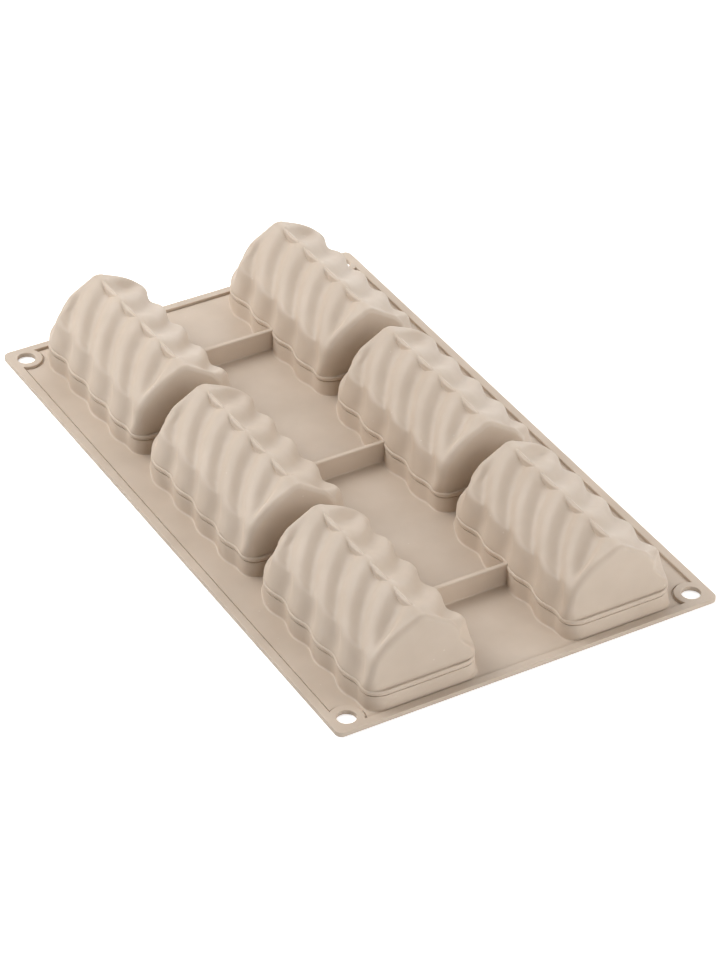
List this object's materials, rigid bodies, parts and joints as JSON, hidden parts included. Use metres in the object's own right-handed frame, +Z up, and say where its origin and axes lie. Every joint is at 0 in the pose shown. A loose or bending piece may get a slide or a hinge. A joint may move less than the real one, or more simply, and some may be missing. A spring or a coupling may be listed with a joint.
{
  "type": "silicone baking mould",
  "caption": "Flexible silicone baking mould lying cups up: fluted, roof-shaped log cavities on scalloped collars in two rows, joined by a flat bordered sheet with corner holes.",
  "frame": {"origin": "middle of the sheet's flat underside, which rests on the surface", "axes": "+X along the long side and the rows, +Y from the front row to the back row, +Z up towards the cups' ridges"},
  "size_m": [0.3, 0.175, 0.0365],
  "materials": {
    "silicone": "satin"
  },
  "bodies": {
    "root": {"web_sheet": "silicone", "rim_front": "silicone", "rim_back": "silicone", "rim_left": "silicone", "rim_right": "silicone", "eyelet_front_left": "silicone", "eyelet_front_right": "silicone", "eyelet_back_left": "silicone", "eyelet_back_right": "silicone", "collar_front_left": "silicone", "collar_front_middle": "silicone", "collar_front_right": "silicone", "collar_back_left": "silicone", "collar_back_middle": "silicone", "collar_back_right": "silicone", "dome_front_left": "silicone", "dome_front_middle": "silicone", "dome_front_right": "silicone", "dome_back_left": "silicone", "dome_back_middle": "silicone", "dome_back_right": "silicone", "cross_rib_left": "silicone", "cross_rib_middle": "silicone", "cross_rib_right": "silicone"}
  },
  "joints": []
}
